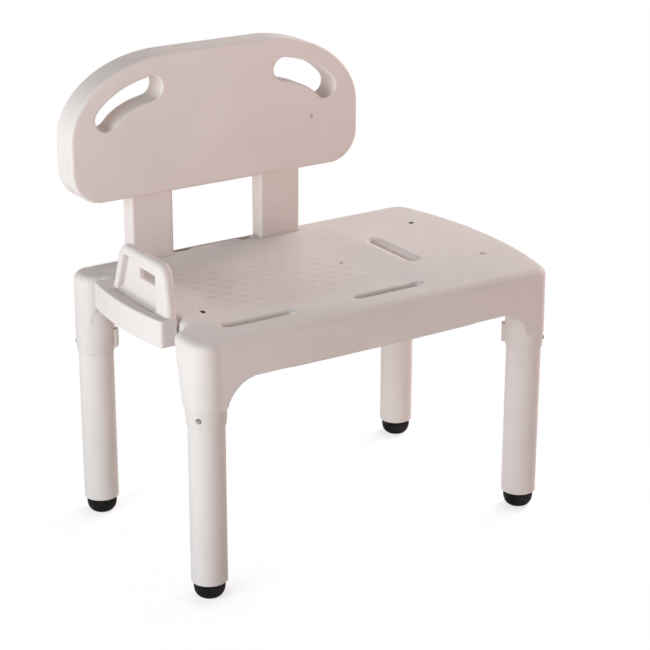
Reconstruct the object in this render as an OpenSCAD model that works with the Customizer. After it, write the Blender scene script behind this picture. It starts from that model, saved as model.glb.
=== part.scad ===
// Bath transfer bench: a moulded seat on four height-adjustable legs,
// with a plug-in backrest and a lift-off side arm at the left end.
// Millimetres, +Z up, +X to the right end, +Y to the backrest.
// The sub-parts are drawn about the middle of the four legs and then
// shifted so that the origin is the bottom centre of the whole bench.

/* [Seat] */
// Height of the deck above the floor with the legs pushed right in
seat_top = 395; // [370:1:480]
// Distance between the left and right leg axes
leg_span_x = 560; // [500:1:700]
// Distance between the front and rear leg axes
leg_span_y = 336; // [310:1:410]
// How far the right end bows out past its corners
end_bow = 24; // [12:1:40]
// How far the left end steps in behind its corners
end_recess = 34; // [24:1:42]
// Radius where the left end's step meets a corner
recess_fillet = 22; // [14:1:30]
// How far the front left corner widens towards the step on its way up
corner_lean = 20; // [0:1:21]
// Thickness of the deck
deck_t = 4; // [3:0.5:6]
// Thickness of the aprons
apron_t = 3.5; // [3:0.5:5]
// Radius of the deck's outer edge
rim_r = 9; // [6:0.5:12]
// Height of the front and rear aprons
apron_h = 60; // [58:1:80]
// Radius where a long apron turns down into a corner
arch_r = 55; // [20:1:60]
// How far an arch reaches past the inner side of a corner tower
arch_reach = 15; // [0:1:20]
// Height of the end aprons at the middle
end_apron_h = 29; // [26:1:50]
// How far an end arch leans in from each corner
end_arch_lean = 11; // [6:1:45]
// Height of the corner towers
tower_h = 100; // [83:1:125]
// Wall of a corner tower around its sleeve
tower_t = 2.5; // [2:0.5:4]
// Depth of the ribs under the deck
rib_h = 20; // [10:1:26]
// Thickness of the ribs
rib_t = 3; // [2:0.5:4]
// Distance from the front slots to the long ribs
rib_clear = 28; // [20:1:40]

/* [Deck openings] */
// Length of a deck slot
slot_len = 120; // [80:1:140]
// Width of a deck slot
slot_w = 17; // [14:1:22]
// Depth of the wall around a deck slot
slot_depth = 15; // [8:1:25]
// Left front slot, from the middle to the left
slot_left_x = 175; // [150:1:185]
// Middle front slot, from the middle to the right
slot_mid_x = 48; // [30:1:55]
// Front slots, from the middle to the front
slot_front_y = 137; // [128:1:142]
// Cross slot, from the middle to the right
slot_cross_x = 157; // [150:1:175]
// Cross slot, from the middle to the rear
slot_cross_y = 7; // [-15:1:15]
// Diameter of a drain hole
drain_d = 6; // [4:0.5:8]
// Right drain holes, in from the right leg axes
drain_right_in = 14; // [8:1:30]
// Right drain holes, from the middle to the front and to the rear
drain_right_y = 95; // [60:1:96]
// Middle drain hole, from the middle to the right
drain_mid_x = 60; // [20:1:90]
// Middle drain hole, from the middle to the rear
drain_mid_y = 10; // [-40:1:60]
// Left drain hole, from the middle to the left
drain_left_x = 223; // [180:1:230]
// Left drain hole, from the middle to the front
drain_left_y = 75; // [30:1:88]

/* [Legs] */
// Outer diameter of a leg tube
leg_d = 53; // [45:1:64]
// Wall of a leg tube
leg_t = 3.2; // [3:0.1:4.5]
// Radial clearance between a leg tube and its sleeve
leg_gap = 0.3; // [0.2:0.05:0.5]
// Wall of a sleeve
sleeve_t = 2.5; // [2:0.1:3.5]
// Radial clearance between a sleeve and its tower
sleeve_gap = 0.05; // [0.02:0.01:0.1]
// Height of the collar below the tower
collar_h = 27; // [22:1:34]
// How far the collar's face stands out past the sleeve
collar_step = 0.7; // [0.5:0.1:1.5]
// Spacing of the height holes
height_pitch = 25.4; // [20:0.1:26]
// Number of height steps above the lowest
height_steps = 3; // [1:1:3]

/* [Feet] */
// Diameter of a rubber foot
foot_d = 46; // [38:1:56]
// Height of a rubber foot
foot_h = 22; // [18:1:30]
// Diameter of the flat under a foot
foot_flat_d = 30; // [20:1:34]
// Height of a foot's widest ring
foot_belly = 13; // [9:1:16]
// Height of the plug's neck above the foot
neck_h = 3; // [2:0.5:6]
// Depth of the plug in the tube
plug_h = 26; // [20:1:40]
// Diameter of the foot's stem
stem_d = 16; // [10:1:20]
// Length of the foot's stem
stem_h = 16; // [10:1:18]
// Radial clearance of the plug and the stem
plug_gap = 0.1; // [0.05:0.01:0.2]

/* [Lock buttons] */
// Diameter of a button
button_d = 6.6; // [5:0.1:8]
// Diameter of the button's inner flange
flange_d = 9; // [8.5:0.1:10]
// Thickness of the button's inner flange
flange_t = 0.95; // [0.8:0.05:1]
// Travel of a button
button_travel = 3; // [2:0.1:3]
// How far a pressed button still stands out of the collar
button_rest = 0.4; // [0.2:0.1:2]
// Turn of the buttons from the bench's length towards its depth
button_turn = 38; // [20:1:60]
// Clearance around a button and its flange
button_gap = 0.35; // [0.2:0.05:0.6]
// Depth of the key groove in a leg tube
groove_depth = 1.6; // [1.5:0.1:2]

/* [Backrest] */
// Middle of the backrest, from the middle of the bench to the left
back_left = 61; // [40:1:70]
// Width of the panel
back_w = 494; // [430:1:560]
// Height of the panel
back_h = 205; // [200:1:260]
// Thickness of the panel
back_t = 50; // [46:1:56]
// Wall of the panel
back_wall = 3; // [2.5:0.5:4]
// Gap between the deck and the panel
back_gap = 108; // [80:1:150]
// Width of the panel's rounded upper corners
back_top_rx = 165; // [140:1:190]
// Height of the panel's rounded upper corners
back_top_rz = 115; // [105:1:130]
// Radius of the panel's lower corners
back_low_r = 46; // [20:1:60]
// Distance from the panel's edge to a handhold
hold_inset = 28; // [22:1:34]
// Width of a handhold
hold_w = 31; // [26:1:34]
// Where a handhold starts on its upper corner, in degrees
hold_from = 26; // [20:1:36]
// Where a handhold ends on its upper corner, in degrees
hold_to = 74; // [60:1:78]

/* [Backrest posts] */
// Distance between the two posts
post_span = 227; // [200:1:240]
// Width of a post
post_w = 68; // [56:1:82]
// Thickness of a post
post_t = 29; // [25:1:32]
// Wall of a post
post_wall = 3; // [2.5:0.5:4]
// Corner radius of a post
post_r = 5; // [3:0.5:8]
// Depth of a post in its seat socket
post_depth = 52; // [45:1:53]
// Length of a post inside the panel
post_up = 120; // [100:1:125]
// Clearance around a post in its socket
post_gap = 0.4; // [0.3:0.05:0.6]
// Clearance around a post in the panel
post_fit = 0.1; // [0.05:0.01:0.2]
// Wall and floor of a post socket
socket_t = 3.5; // [3:0.5:5]
// How far the panel's front stands before the posts
panel_lead = 8; // [6:0.5:12]

/* [Post screws] */
// Diameter of a screw
screw_d = 4.5; // [4:0.1:5]
// Diameter of a screw head
screw_head_d = 9; // [8:0.1:10]
// Height of a screw head
screw_head_h = 3; // [2.5:0.1:3.5]
// Radial clearance around a screw
screw_gap = 0.1; // [0.05:0.01:0.2]
// Lower screw, above the panel's lower edge
screw_low = 40; // [30:1:60]
// Distance between a post's two screws
screw_pitch = 66; // [40:1:70]

/* [Side arm] */
// Middle of the arm, from the middle of the bench to the front
arm_front = 8; // [0:1:12]
// Reach of the ledge ahead of the arm's middle
arm_ahead = 88; // [85:1:95]
// Height of the ledge
arm_h = 41; // [36:1:50]
// How far the ledge stands proud of the deck
arm_proud = 3; // [2:0.5:6]
// Reach of the ledge from the left end's face
arm_reach = 27; // [24:1:32]
// Radius of the ledge's front corner
arm_corner_r = 5; // [3:1:20]
// Radius of the ledge's rear corner
arm_rear_r = 5; // [3:1:12]
// Set-back of the loop from the ledge's face
loop_setback = 13; // [10:1:15]
// Depth of the loop
loop_d = 18; // [16:1:22]
// Height of the loop above the deck
loop_h = 77; // [65:1:110]
// Length of the loop at its foot
loop_foot = 172; // [150:1:176]
// Length of the loop at its top
loop_top = 128; // [110:1:150]
// Corner radius of the loop's top
loop_r = 16; // [10:1:20]
// Width of the loop's rim
loop_rim = 15; // [12:1:20]
// Thickness of the loop's recessed web
web_t = 12; // [3:0.5:14]
// Length of the window in the web
window_len = 42; // [24:1:80]
// Height of the window in the web
window_h = 20; // [14:1:32]
// How far the window's middle lies ahead of the arm's middle
window_ahead = 7; // [0:1:12]
// Clearance between the arm and the seat
arm_gap = 0.4; // [0.3:0.05:0.6]
// Clearance between the ledge's rear end and the step's fillet
arm_end_gap = 2; // [1:0.5:10]
// Distance between the two rails that hold the arm
rail_span = 108; // [90:1:110]
// Width of a rail's neck
rail_neck = 8; // [6:1:10]
// Width of a rail's head
rail_head = 18; // [16:1:22]
// Thickness of a rail's neck, and of its head
rail_t = 6; // [5:0.5:8]
// Height of a rail
rail_h = 20; // [15:1:21]

/* [Hidden] */

$fn = 64;
// Overshoot of a cut past the face it opens
over = 1;
// Largest distance between an arc and its chords
arc_error = 0.06;
// Keeps the towers just inside the outline's chords
chord_gap = 0.4;
// Steps of the rounded deck edge
rim_steps = 5;

plastic = [0.90, 0.86, 0.83];
plastic_shade = [0.86, 0.82, 0.79];
rubber = [0.06, 0.06, 0.06];
button_grey = [0.62, 0.61, 0.60];
steel = [0.70, 0.70, 0.72];

// Legs and sleeves
leg_x = leg_span_x / 2;
leg_y = leg_span_y / 2;
leg_r = leg_d / 2;
sleeve_in = leg_r + leg_gap;
sleeve_r = sleeve_in + sleeve_t;
collar_r = sleeve_r + collar_step;
tower_in = sleeve_r + sleeve_gap;
corner_r = tower_in + tower_t;
deck_low = seat_top - deck_t;
tower_low = seat_top - tower_h;
collar_low = tower_low - collar_h;
leg_low = foot_h + neck_h;

// Corners in the order front left, front right, rear left, rear right
front_left = [-1, -1];
front_right = [1, -1];
rear_left = [-1, 1];
rear_right = [1, 1];
corners = [front_left, front_right, rear_left, rear_right];

// Lock buttons: places along the radius through the button
button_z = tower_low - collar_h / 2;
groove_in = leg_r - groove_depth;
groove_w = flange_d + 2 * button_gap;
flange_in = groove_in + button_gap;
button_tip = collar_r + button_travel + button_rest;
height_travel = height_pitch * height_steps;

// Seat outline: the right end is one arc that touches both corner arcs,
// the left end is a wall that meets them through two hollow fillets
seat_half_y = leg_y + corner_r;
seat_left = -(leg_x + corner_r);
seat_right = leg_x + corner_r + end_bow;
bow_reach = leg_x + end_bow;
bow_x = (pow(bow_reach, 2) - pow(leg_x, 2) - pow(leg_y, 2)) / (2 * end_bow);
bow_r = seat_right - bow_x;
bow_angle = atan2(leg_y, leg_x - bow_x);
end_x = seat_left + end_recess;
fillet_x = end_x - recess_fillet;
fillet_turn = acos((corner_r + recess_fillet - end_recess) / (corner_r + recess_fillet));
fillet_y = leg_y - (corner_r + recess_fillet) * sin(fillet_turn);

// Backrest
back_x = -back_left;
post_rear = seat_half_y - apron_t - post_gap;
post_front = post_rear - post_t;
panel_front = post_front - panel_lead;
panel_rear = panel_front + back_t;
panel_low = seat_top + back_gap;
panel_top = panel_low + back_h;
post_low = seat_top - post_depth;
post_high = panel_low + post_up;
post_centres = [back_x - post_span / 2, back_x + post_span / 2];
post_mid_y = (post_front + post_rear) / 2;
corner_cx = back_w / 2 - back_top_rx;
corner_cz = panel_top - back_top_rz;
boss_r = screw_head_d / 2 + back_wall;
screw_heights = [panel_low + screw_low, panel_low + screw_low + screw_pitch];

// Side arm
arm_x = end_x - arm_reach;
arm_y = -arm_front;
arm_top = seat_top + arm_proud;
arm_low = arm_top - arm_h;
loop_x = arm_x + loop_setback;
loop_low = seat_top + arm_gap;
rail_low = seat_top - end_apron_h;
rail_ys = [arm_y - rail_span / 2, arm_y + rail_span / 2];

// Bottom centre of the whole bench
x_low = min(seat_left, arm_x, back_x - back_w / 2);
x_high = max(seat_right, back_x + back_w / 2);
y_low = -seat_half_y;
y_high = max(seat_half_y, panel_rear);
centre = [(x_low + x_high) / 2, (y_low + y_high) / 2, 0];

// Number of chords for an arc of a given radius and sweep
function chords(r, sweep) = max(2, ceil(abs(sweep) / (2 * acos(1 - arc_error / r))));

// Points on an arc of an ellipse, from one angle to the other, with chords as for radius r
function arc(cx, cy, rx, ry, from, to, r) =
    let (n = chords(r, to - from))
    [for (i = [0 : n]) let (a = from + (to - from) * i / n) [cx + rx * cos(a), cy + ry * sin(a)]];

// Seat outline drawn in by a given inset, counter-clockwise, with its front left corner
// widened towards the step by a given lean
function seat_outline(inset, lean = 0) =
    let (r = corner_r - inset, f = recess_fillet + inset)
    concat(
        arc(-leg_x, lean - leg_y, r, r, 180 - fillet_turn, 180, corner_r),
        arc(-leg_x, -leg_y, r, r, 180, 270, corner_r),
        arc(leg_x, -leg_y, r, r, 270, 360 - bow_angle, corner_r),
        arc(bow_x, 0, bow_r - inset, bow_r - inset, -bow_angle, 0, bow_r),
        arc(bow_x, 0, bow_r - inset, bow_r - inset, 0, bow_angle, bow_r),
        arc(leg_x, leg_y, r, r, bow_angle, 90, corner_r),
        arc(-leg_x, leg_y, r, r, 90, 180, corner_r),
        arc(-leg_x, leg_y, r, r, 180, 180 + fillet_turn, corner_r),
        arc(fillet_x, fillet_y, f, f, fillet_turn, 0, recess_fillet),
        arc(fillet_x, lean - fillet_y, f, f, 0, -fillet_turn, recess_fillet)
    );

// Panel outline drawn in by a given inset, about the panel's middle
function panel_outline(inset) =
    let (r = back_low_r - inset, w = back_w / 2 - back_low_r, z = panel_low + back_low_r)
    concat(
        arc(corner_cx, corner_cz, back_top_rx - inset, back_top_rz - inset, 0, 90, back_top_rx),
        arc(-corner_cx, corner_cz, back_top_rx - inset, back_top_rz - inset, 90, 180, back_top_rx),
        arc(-w, z, r, r, 180, 270, r),
        arc(w, z, r, r, 270, 360, r)
    );

// Right-hand handhold drawn out by a given outset: a band along the upper corner
function hold_outline(outset) =
    let (
        mid = hold_inset + hold_w / 2,
        half = hold_w / 2 + outset,
        rx = back_top_rx - mid,
        rz = back_top_rz - mid,
        ends = [for (a = [hold_from, hold_to]) [corner_cx + rx * cos(a), corner_cz + rz * sin(a)]],
        turns = [for (a = [hold_from, hold_to]) atan2(rx * sin(a), rz * cos(a))],
        n = chords(rx, hold_to - hold_from),
        step = (hold_to - hold_from) / n
    )
    concat(
        [for (i = [0 : n]) hold_point(hold_from + step * i, rx, rz, half)],
        arc(ends[1].x, ends[1].y, half, half, turns[1], turns[1] + 180, half),
        [for (i = [0 : n]) hold_point(hold_to - step * i, rx, rz, -half)],
        arc(ends[0].x, ends[0].y, half, half, turns[0] + 180, turns[0] + 360, half)
    );

// Point beside the handhold's middle line, on its normal
function hold_point(a, rx, rz, side) =
    let (turn = atan2(rx * sin(a), rz * cos(a)))
    [corner_cx + rx * cos(a) + side * cos(turn), corner_cz + rz * sin(a) + side * sin(turn)];

module placed() {
    translate(-centre) children();
}

module at_leg(corner) {
    translate([corner.x * leg_x, corner.y * leg_y, 0]) children();
}

// Turns a shape drawn along +X so that it points out of a corner along its button
module along_button(corner) {
    turn = atan2(corner.y * sin(button_turn), corner.x * cos(button_turn));
    at_leg(corner) rotate([0, 0, turn]) children();
}

module tube(r_out, r_in, low, high) {
    translate([0, 0, low])
    difference() {
        cylinder(r = r_out, h = high - low);
        translate([0, 0, -over]) cylinder(r = r_in, h = high - low + 2 * over);
    }
}

// Rectangle with round corners
module round_rect(w, d, r) {
    square([w - 2 * r, d], center = true);
    square([w, d - 2 * r], center = true);
    for (x = [-1, 1], y = [-1, 1]) {
        translate([x * (w / 2 - r), y * (d / 2 - r)]) circle(r = r);
    }
}

// Slot with round ends, drawn out by a given outset
module slot_shape(outset) {
    square([slot_len - slot_w, slot_w + 2 * outset], center = true);
    for (x = [-1, 1]) {
        translate([x * (slot_len - slot_w) / 2, 0]) circle(r = slot_w / 2 + outset);
    }
}

module at_slots() {
    translate([-slot_left_x, -slot_front_y, 0]) children();
    translate([slot_mid_x, -slot_front_y, 0]) children();
    translate([slot_cross_x, slot_cross_y, 0]) rotate([0, 0, 90]) children();
}

// Extrudes an outline drawn in X and Z from the front to the rear
module extrude_y(front, rear) {
    translate([0, rear, 0]) rotate([90, 0, 0]) linear_extrude(rear - front) children();
}

// Extrudes an outline drawn in Y and Z from the left to the right
module extrude_x(left, right) {
    translate([left, 0, 0]) rotate([90, 0, 90]) linear_extrude(right - left) children();
}

// Outside of the seat: the outline carried up and rolled in over the rim
module seat_outside() {
    layers = concat(
        [[0, tower_low, 0]],
        [for (i = [0 : rim_steps]) let (a = 90 * i / rim_steps)
            [rim_r * (1 - cos(a)), seat_top - rim_r + rim_r * sin(a), corner_lean]]
    );
    n = len(seat_outline(0));
    top = len(layers) - 1;
    points = [for (layer = layers, p = seat_outline(layer[0], layer[2])) [p.x, p.y, layer[1]]];
    sides = [for (k = [0 : top - 1], i = [0 : n - 1]) let (j = (i + 1) % n)
        each [[k * n + i, (k + 1) * n + i, (k + 1) * n + j], [k * n + i, (k + 1) * n + j, k * n + j]]];
    floor_face = [for (i = [0 : n - 1]) i];
    deck_face = [for (i = [0 : n - 1]) top * n + n - 1 - i];
    polyhedron(points = points, faces = concat(sides, [floor_face, deck_face]), convexity = 10);
}

// Inside of the seat, stepped in below the rolled rim
module seat_inside() {
    shoulder = seat_top - rim_r;
    translate([0, 0, tower_low - over]) linear_extrude(shoulder - tower_low + over) {
        polygon(seat_outline(apron_t));
    }
    translate([0, 0, shoulder - over]) linear_extrude(deck_low - shoulder + over) {
        polygon(seat_outline(apron_t + rim_r / 3));
    }
}

// Open arches under the four aprons
module apron_arches() {
    side_x = leg_x - corner_r + arch_reach;
    side_y = leg_y - corner_r + arch_reach;
    long_top = seat_top - apron_h;
    end_top = seat_top - end_apron_h;
    low = min(tower_low, long_top - arch_r) - over;
    extrude_y(-seat_half_y - over, seat_half_y + over) {
        polygon(concat(
            [[-side_x, low], [side_x, low]],
            arc(side_x - arch_r, long_top - arch_r, arch_r, arch_r, 0, 90, arch_r),
            arc(-side_x + arch_r, long_top - arch_r, arch_r, arch_r, 90, 180, arch_r)
        ));
    }
    extrude_x(seat_left - over, seat_right + over) {
        polygon([
            [-side_y, low], [side_y, low], [side_y, tower_low],
            [side_y - end_arch_lean, end_top], [end_arch_lean - side_y, end_top], [-side_y, tower_low]
        ]);
    }
}

// Ribs, slot walls, corner towers, post sockets and arm rails
module seat_inner_works() {
    rib_low = deck_low - rib_h;
    rib_y = slot_front_y - slot_w / 2 - rib_clear;
    rib_x = leg_x - corner_r;
    between_front_slots = (slot_mid_x - slot_left_x) / 2;
    beside_cross_slot = (slot_mid_x + slot_len / 2 + slot_cross_x - slot_w / 2) / 2;
    for (y = [-rib_y, rib_y]) {
        translate([-rib_x, y - rib_t / 2, rib_low]) cube([2 * rib_x, rib_t, rib_h + over]);
    }
    for (x = [between_front_slots, beside_cross_slot]) {
        translate([x - rib_t / 2, -seat_half_y + apron_t, rib_low]) {
            cube([rib_t, 2 * (seat_half_y - apron_t), rib_h + over]);
        }
    }
    at_slots() translate([0, 0, seat_top - slot_depth]) {
        linear_extrude(slot_depth - deck_t + over) slot_shape(rib_t);
    }
    for (corner = corners) {
        at_leg(corner) translate([0, 0, tower_low]) {
            cylinder(r = corner_r - chord_gap, h = tower_h - rim_r);
            cylinder(r = corner_r - rim_r / 2, h = tower_h - deck_t / 2);
        }
    }
    for (x = post_centres) {
        socket_w = post_w + 2 * (post_gap + socket_t);
        socket_front = post_front - post_gap - socket_t;
        socket_rear = seat_half_y - apron_t / 2;
        translate([x - socket_w / 2, socket_front, post_low - socket_t]) {
            cube([socket_w, socket_rear - socket_front, post_depth + socket_t - deck_t / 2]);
        }
    }
    for (y = rail_ys) {
        translate([end_x - rail_t, y - rail_neck / 2, rail_low]) {
            cube([rail_t + apron_t / 2, rail_neck, rail_h]);
        }
        translate([end_x - 2 * rail_t, y - rail_head / 2, rail_low]) {
            cube([rail_t, rail_head, rail_h]);
        }
    }
}

module seat_cuts() {
    at_slots() translate([0, 0, seat_top - slot_depth - rib_h]) {
        linear_extrude(slot_depth + rib_h + over) slot_shape(0);
    }
    drains = [
        [leg_x - drain_right_in, -drain_right_y],
        [leg_x - drain_right_in, drain_right_y],
        [drain_mid_x, drain_mid_y],
        [-drain_left_x, -drain_left_y]
    ];
    for (p = drains) {
        translate([p.x, p.y, deck_low - over]) cylinder(d = drain_d, h = deck_t + 2 * over);
    }
    for (corner = corners) {
        at_leg(corner) translate([0, 0, tower_low - over]) {
            cylinder(r = tower_in, h = deck_low - tower_low + over);
        }
    }
    for (x = post_centres) {
        translate([x, post_mid_y, post_low]) linear_extrude(post_depth + over) {
            post_section(post_gap);
        }
    }
}

module seat_shell() color(plastic) placed() {
    difference() {
        union() {
            difference() {
                seat_outside();
                seat_inside();
                apron_arches();
            }
            seat_inner_works();
        }
        seat_cuts();
    }
}

module leg_sleeve(corner) color(plastic_shade) placed() {
    difference() {
        at_leg(corner) {
            tube(sleeve_r, sleeve_in, tower_low - over, deck_low);
            tube(collar_r, sleeve_in, collar_low, tower_low);
        }
        along_button(corner) translate([0, 0, button_z]) rotate([0, 90, 0]) {
            cylinder(r = button_d / 2 + button_gap, h = collar_r + over);
        }
    }
}

module leg_tube(corner) color(plastic) placed() {
    difference() {
        at_leg(corner) tube(leg_r, leg_r - leg_t, leg_low, deck_low);
        along_button(corner) {
            translate([groove_in, -groove_w / 2, button_z - groove_w / 2]) {
                cube([groove_depth + over, groove_w, height_travel + groove_w]);
            }
            for (i = [0 : height_steps]) {
                translate([0, 0, button_z + i * height_pitch]) rotate([0, 90, 0]) {
                    cylinder(d = groove_w, h = leg_r + over);
                }
            }
        }
    }
}

module leg_plug(corner) color(plastic_shade) placed() at_leg(corner) {
    bore = stem_d / 2 + plug_gap;
    neck_r = leg_r - leg_t / 2;
    tube(neck_r, bore, foot_h, leg_low);
    tube(leg_r - leg_t - plug_gap, bore, leg_low - over, leg_low + plug_h);
}

module foot(corner) color(rubber) placed() at_leg(corner) {
    bulge = (foot_d - foot_flat_d) / 2;
    crown = foot_h - foot_belly;
    rotate_extrude() {
        polygon(concat(
            [[0, 0]],
            arc(foot_flat_d / 2, foot_belly, bulge, foot_belly, -90, 0, foot_belly),
            arc(foot_d / 2 - crown / 2, foot_belly, crown / 2, crown, 0, 90, crown),
            [[0, foot_h]]
        ));
    }
    translate([0, 0, foot_h - over]) cylinder(d = stem_d, h = stem_h + over);
}

module lock_button(corner) color(button_grey) placed() along_button(corner) {
    dome = button_d / 4;
    translate([0, 0, button_z]) rotate([0, 90, 0]) rotate_extrude() {
        polygon(concat(
            [[0, flange_in], [flange_d / 2, flange_in], [flange_d / 2, flange_in + flange_t],
             [button_d / 2, flange_in + flange_t]],
            arc(button_d / 2 - dome, button_tip - dome, dome, dome, 0, 90, dome),
            [[0, button_tip]]
        ));
    }
}

// Shape of one post, drawn out by a given outset
module post_section(outset) {
    round_rect(post_w + 2 * outset, post_t + 2 * outset, post_r + outset);
}

module backrest_panel() color(plastic) placed() {
    difference() {
        union() {
            difference() {
                translate([back_x, 0, 0]) extrude_y(panel_front, panel_rear) polygon(panel_outline(0));
                translate([back_x, 0, 0]) extrude_y(panel_front + back_wall, panel_rear - back_wall) {
                    polygon(panel_outline(back_wall));
                }
            }
            for (side = [0, 1]) {
                translate([back_x, 0, 0]) mirror([side, 0, 0]) {
                    extrude_y(panel_front + over, panel_rear - over) polygon(hold_outline(back_wall));
                }
            }
            for (x = post_centres, z = screw_heights) {
                translate([x, post_rear, z]) rotate([-90, 0, 0]) {
                    cylinder(r = boss_r, h = panel_rear - over - post_rear);
                }
            }
        }
        for (side = [0, 1]) {
            translate([back_x, 0, 0]) mirror([side, 0, 0]) {
                extrude_y(panel_front - over, panel_rear + over) polygon(hold_outline(0));
            }
        }
        for (x = post_centres) {
            translate([x, post_mid_y, panel_low - over]) linear_extrude(back_wall + 2 * over) {
                post_section(post_fit);
            }
        }
        for (x = post_centres, z = screw_heights) {
            translate([x, post_rear - over, z]) rotate([-90, 0, 0]) {
                cylinder(r = screw_d / 2 + screw_gap, h = panel_rear - post_rear + 2 * over);
            }
            translate([x, panel_rear - screw_head_h, z]) rotate([-90, 0, 0]) {
                cylinder(r = screw_head_d / 2 + screw_gap, h = screw_head_h + over);
            }
        }
    }
}

module backrest_post(x) color(plastic) placed() {
    difference() {
        translate([x, post_mid_y, post_low]) linear_extrude(post_high - post_low) {
            difference() {
                post_section(0);
                post_section(-post_wall);
            }
        }
        for (z = screw_heights) {
            translate([x, post_mid_y, z]) rotate([-90, 0, 0]) {
                cylinder(r = screw_d / 2 + screw_gap, h = post_t);
            }
        }
    }
}

module post_screws() color(steel) placed() {
    tip = post_rear - 2 * post_wall;
    for (x = post_centres, z = screw_heights) {
        translate([x, tip, z]) rotate([-90, 0, 0]) {
            cylinder(d = screw_d, h = panel_rear - tip - screw_head_h / 2);
        }
        translate([x, panel_rear - screw_head_h, z]) rotate([-90, 0, 0]) {
            cylinder(d = screw_head_d, h = screw_head_h);
        }
    }
}

// Trapezoid with round upper corners, seen from the left end, drawn in by a given inset
module loop_shape(inset) {
    lean = atan2((loop_foot - loop_top) / 2, loop_h);
    half_low = loop_foot / 2 - inset / cos(lean);
    top = loop_low + loop_h - inset;
    r = max(1, loop_r - inset);
    half_top = half_low - (top - loop_low) * tan(lean);
    cy = half_top - r * (1 - sin(lean)) / cos(lean);
    polygon(concat(
        [[arm_y - half_low, loop_low], [arm_y + half_low, loop_low]],
        arc(arm_y + cy, top - r, r, r, lean, 90, r),
        arc(arm_y - cy, top - r, r, r, 90, 180 - lean, r)
    ));
}

module side_arm() color(plastic) placed() {
    difference() {
        union() {
            translate([0, 0, arm_low]) linear_extrude(arm_h) arm_plan();
            extrude_x(loop_x, loop_x + loop_d) loop_shape(0);
        }
        extrude_x(loop_x - over, loop_x + loop_d - web_t) {
            intersection() {
                loop_shape(loop_rim);
                translate([arm_y - loop_foot / 2, arm_top]) square([loop_foot, loop_h]);
            }
        }
        translate([loop_x, arm_y - window_ahead, loop_low + loop_h / 2]) {
            cube([2 * loop_d + over, window_len, window_h], center = true);
        }
        for (y = rail_ys) {
            slot_top = rail_low + rail_h;
            translate([end_x - rail_t - arm_gap, y - rail_neck / 2 - arm_gap, arm_low - over]) {
                cube([rail_t + arm_gap + over, rail_neck + 2 * arm_gap, slot_top - arm_low + over]);
            }
            translate([end_x - 2 * rail_t - arm_gap, y - rail_head / 2 - arm_gap, arm_low - over]) {
                cube([rail_t + 2 * arm_gap, rail_head + 2 * arm_gap, slot_top - arm_low + over]);
            }
        }
    }
}

// Ledge seen from above: round corners on the outer side, a small gap to the seat
module arm_plan() {
    inner = end_x - arm_gap;
    front = arm_y - arm_ahead;
    rear = fillet_y - arm_end_gap;
    polygon(concat(
        [[inner, front], [inner, rear]],
        arc(arm_x + arm_rear_r, rear - arm_rear_r, arm_rear_r, arm_rear_r, 90, 180, arm_rear_r),
        arc(arm_x + arm_corner_r, front + arm_corner_r, arm_corner_r, arm_corner_r, 180, 270, arm_corner_r)
    ));
}

seat_shell();
leg_sleeve(front_left);  // leg_sleeve_front_left
leg_sleeve(front_right);  // leg_sleeve_front_right
leg_sleeve(rear_left);  // leg_sleeve_rear_left
leg_sleeve(rear_right);  // leg_sleeve_rear_right
leg_tube(front_left);  // leg_tube_front_left
leg_tube(front_right);  // leg_tube_front_right
leg_tube(rear_left);  // leg_tube_rear_left
leg_tube(rear_right);  // leg_tube_rear_right
leg_plug(front_left);  // leg_plug_front_left
leg_plug(front_right);  // leg_plug_front_right
leg_plug(rear_left);  // leg_plug_rear_left
leg_plug(rear_right);  // leg_plug_rear_right
foot(front_left);  // foot_front_left
foot(front_right);  // foot_front_right
foot(rear_left);  // foot_rear_left
foot(rear_right);  // foot_rear_right
lock_button(front_left);  // lock_button_front_left
lock_button(front_right);  // lock_button_front_right
lock_button(rear_left);  // lock_button_rear_left
lock_button(rear_right);  // lock_button_rear_right
backrest_panel();
backrest_post(post_centres[0]);  // backrest_post_left
backrest_post(post_centres[1]);  // backrest_post_right
post_screws();
side_arm();
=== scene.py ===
"""Looks of the bath transfer bench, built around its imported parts.

Shapes are written as distance fields in millimetres, about the middle of the four legs:
a field is negative inside a piece, and its zero level becomes the piece's mesh.
"""
import math
from functools import reduce

import bmesh
import bpy
import numpy as np
import openvdb
from mathutils import Matrix, Vector


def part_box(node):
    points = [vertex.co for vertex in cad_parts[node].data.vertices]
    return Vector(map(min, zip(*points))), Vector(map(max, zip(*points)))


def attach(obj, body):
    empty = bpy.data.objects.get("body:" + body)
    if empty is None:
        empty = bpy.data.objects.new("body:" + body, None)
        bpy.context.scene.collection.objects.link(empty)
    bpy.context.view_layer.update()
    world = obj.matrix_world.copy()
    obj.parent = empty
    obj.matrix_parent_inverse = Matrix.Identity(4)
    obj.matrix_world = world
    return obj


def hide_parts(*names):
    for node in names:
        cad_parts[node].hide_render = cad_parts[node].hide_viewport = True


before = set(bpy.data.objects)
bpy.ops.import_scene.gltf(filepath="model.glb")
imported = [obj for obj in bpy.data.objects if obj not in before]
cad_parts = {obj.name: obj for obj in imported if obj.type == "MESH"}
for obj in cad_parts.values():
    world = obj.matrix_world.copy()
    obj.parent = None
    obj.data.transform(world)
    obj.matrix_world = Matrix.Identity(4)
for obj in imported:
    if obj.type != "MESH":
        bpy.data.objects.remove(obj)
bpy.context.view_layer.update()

MM = 0.001
CORNERS = {"front_left": (-1, -1), "front_right": (1, -1), "rear_left": (-1, 1), "rear_right": (1, 1)}


def box_mm(node):
    """Lowest and highest corner of a CAD node, in millimetres."""
    low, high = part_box(node)
    return np.array(low) / MM, np.array(high) / MM


# The middle of the four legs is the origin of every shape below
MIDDLE = sum(sum(box_mm("leg_tube_" + corner)) / 2 for corner in CORNERS) / len(CORNERS)
MIDDLE[2] = 0


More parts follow.
